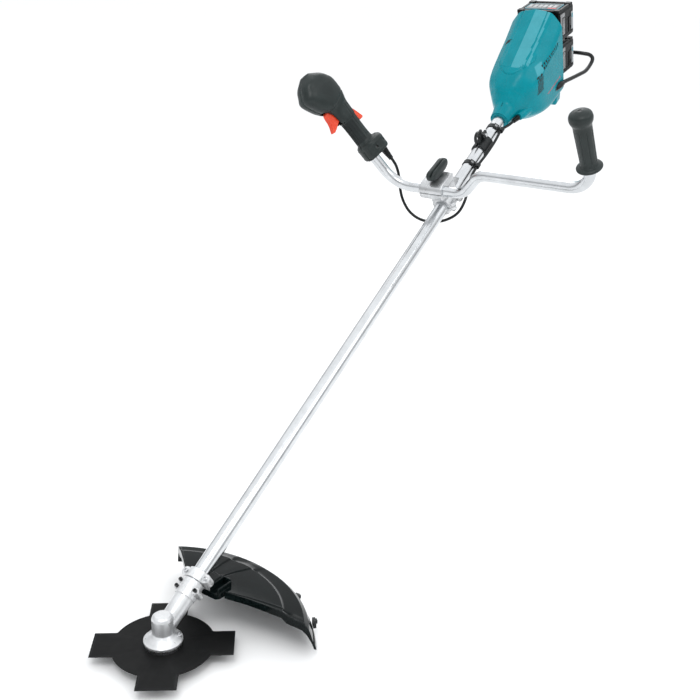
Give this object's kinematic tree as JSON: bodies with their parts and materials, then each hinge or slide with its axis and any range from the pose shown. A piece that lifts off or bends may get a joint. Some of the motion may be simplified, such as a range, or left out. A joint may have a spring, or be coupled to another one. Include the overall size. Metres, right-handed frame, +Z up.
{
  "type": "battery brush cutter",
  "caption": "Battery brush cutter with a four-tooth blade, bevel gear head, guard, straight shaft, bike handle, trigger grip, motor housing and side-loading batteries.",
  "frame": {"origin": "centre of the harness eye's hole", "axes": "+X forward to the blade, +Y to the user's left, +Z up along the blade's spindle; the shaft rises backwards at 33 degrees"},
  "size_m": [1.5324, 0.6178, 1.0051],
  "materials": {
    "alloy_pipe": "satin brushed",
    "cast_alloy": "cast, bead blasted",
    "white_cast": "painted casting",
    "steel": "machined",
    "black_steel": "black oxide",
    "blade_steel": "satin black",
    "guard_plastic": "gloss dark green black",
    "teal_plastic": "satin",
    "grip_plastic": "fine grain",
    "black_plastic": "fine grain",
    "signal_orange": "satin",
    "cable_rubber": "satin",
    "battery_plastic": "fine grain",
    "copper": "wound wire",
    "brass": "plain"
  },
  "bodies": {
    "machine": {"main_pipe": "alloy_pipe", "shaft_bushes": "black_plastic", "gear_case": "white_cast", "gear_case_bolts": "steel", "grease_plug": "steel", "spindle_bearings": "steel", "shaft_bearings": "steel", "spindle_seal": "cable_rubber", "guard_bracket": "white_cast", "guard_bracket_cap": "white_cast", "guard_bolts": "steel", "cutter_guard": "guard_plastic", "guard_clips": "black_plastic", "bar_holder": "cast_alloy", "pipe_clamp_cap": "cast_alloy", "holder_bolts": "black_steel", "bar_clamp_cap": "cast_alloy", "hanger_band": "black_plastic", "hanger_eye": "black_steel", "hanger_bolt": "steel", "cable_clips": "black_plastic", "control_cable": "cable_rubber", "housing_gland": "black_plastic", "housing_left": "teal_plastic", "housing_right": "teal_plastic", "cable_socket": "teal_plastic", "housing_screws": "black_steel", "pipe_sleeve": "cast_alloy", "motor_stator": "copper", "controller": "black_plastic", "battery_dock": "black_plastic", "dock_terminals": "brass", "rear_guard": "black_steel"},
    "cutter": {"output_spindle": "steel", "spindle_gear": "steel", "receiver_washer": "steel", "cutter_blade": "blade_steel", "clamp_washer": "steel", "blade_cup": "steel", "blade_nut": "black_steel"},
    "driveline": {"drive_shaft": "steel", "drive_pinion": "steel", "motor_rotor": "steel", "cooling_fan": "black_plastic"},
    "handle": {"handlebar": "alloy_pipe", "trigger_grip_inner": "grip_plastic", "trigger_grip_outer": "grip_plastic", "plain_grip": "grip_plastic", "grip_screws": "black_steel", "switch_module": "black_plastic", "grip_gland": "black_plastic"},
    "throttle": {"trigger": "signal_orange"},
    "lock_off": {"lock_off_lever": "signal_orange"},
    "power_key": {"power_button": "grip_plastic"},
    "mode_key": {"mode_button": "grip_plastic"},
    "knob": {"clamp_knob": "grip_plastic"},
    "upper_pack": {"battery_upper": "battery_plastic"},
    "lower_pack": {"battery_lower": "battery_plastic"},
    "upper_latch": {"upper_release": "grip_plastic"},
    "lower_latch": {"lower_release": "grip_plastic"}
  },
  "joints": [
    {"name": "blade_spin", "type": "hinge", "parent": "machine", "child": "cutter", "pos_m": [0.99623, 0, -0.71092], "axis": [0, 0, 1], "continuous": true},
    {"name": "shaft_spin", "type": "hinge", "parent": "machine", "child": "driveline", "pos_m": [0.99623, 0, -0.68392], "axis": [-0.8387, 0, 0.5446], "continuous": true},
    {"name": "handle_tilt", "type": "hinge", "parent": "machine", "child": "handle", "pos_m": [0.18244, 0, -0.08628], "axis": [0, 1, 0], "range_deg": [-15, 15], "deforming": ["control_cable"]},
    {"name": "knob_turn", "type": "hinge", "parent": "machine", "child": "knob", "pos_m": [0.16658, 0, -0.0586], "axis": [0.4695, 0, 0.8829], "continuous": true},
    {"name": "trigger_pull", "type": "hinge", "parent": "handle", "child": "throttle", "pos_m": [0.2788, -0.19239, 0.06086], "axis": [0.2347, 0.866, 0.4415], "range_deg": [0, 14], "stiffness_Nm_per_rad": 0.4, "springref_deg": -17.19},
    {"name": "lock_off_press", "type": "hinge", "parent": "handle", "child": "lock_off", "pos_m": [0.2303, -0.17889, 0.06017], "axis": [-0.2347, -0.866, -0.4415], "range_deg": [0, 8], "stiffness_Nm_per_rad": 0.3, "springref_deg": -17.19},
    {"name": "power_press", "type": "slide", "parent": "handle", "child": "power_key", "axis": [0.8829, 0, -0.4695], "range_m": [0, 0.0015], "stiffness_N_per_m": 400, "springref_m": -0.002},
    {"name": "mode_press", "type": "slide", "parent": "handle", "child": "mode_key", "axis": [0.8829, 0, -0.4695], "range_m": [0, 0.0015], "stiffness_N_per_m": 400, "springref_m": -0.002},
    {"name": "upper_battery_slide", "type": "slide", "parent": "machine", "child": "upper_pack", "axis": [0, 1, 0], "range_m": [0, 0.13]},
    {"name": "lower_battery_slide", "type": "slide", "parent": "machine", "child": "lower_pack", "axis": [0, 1, 0], "range_m": [0, 0.13]},
    {"name": "upper_release_press", "type": "slide", "parent": "upper_pack", "child": "upper_latch", "axis": [0, -1, 0], "range_m": [0, 0.0025], "stiffness_N_per_m": 500, "springref_m": -0.002},
    {"name": "lower_release_press", "type": "slide", "parent": "lower_pack", "child": "lower_latch", "axis": [0, -1, 0], "range_m": [0, 0.0025], "stiffness_N_per_m": 500, "springref_m": -0.002}
  ],
  "couplings": [
    {"joint": "shaft_spin", "follows": "blade_spin", "ratio": -1.4615}
  ]
}
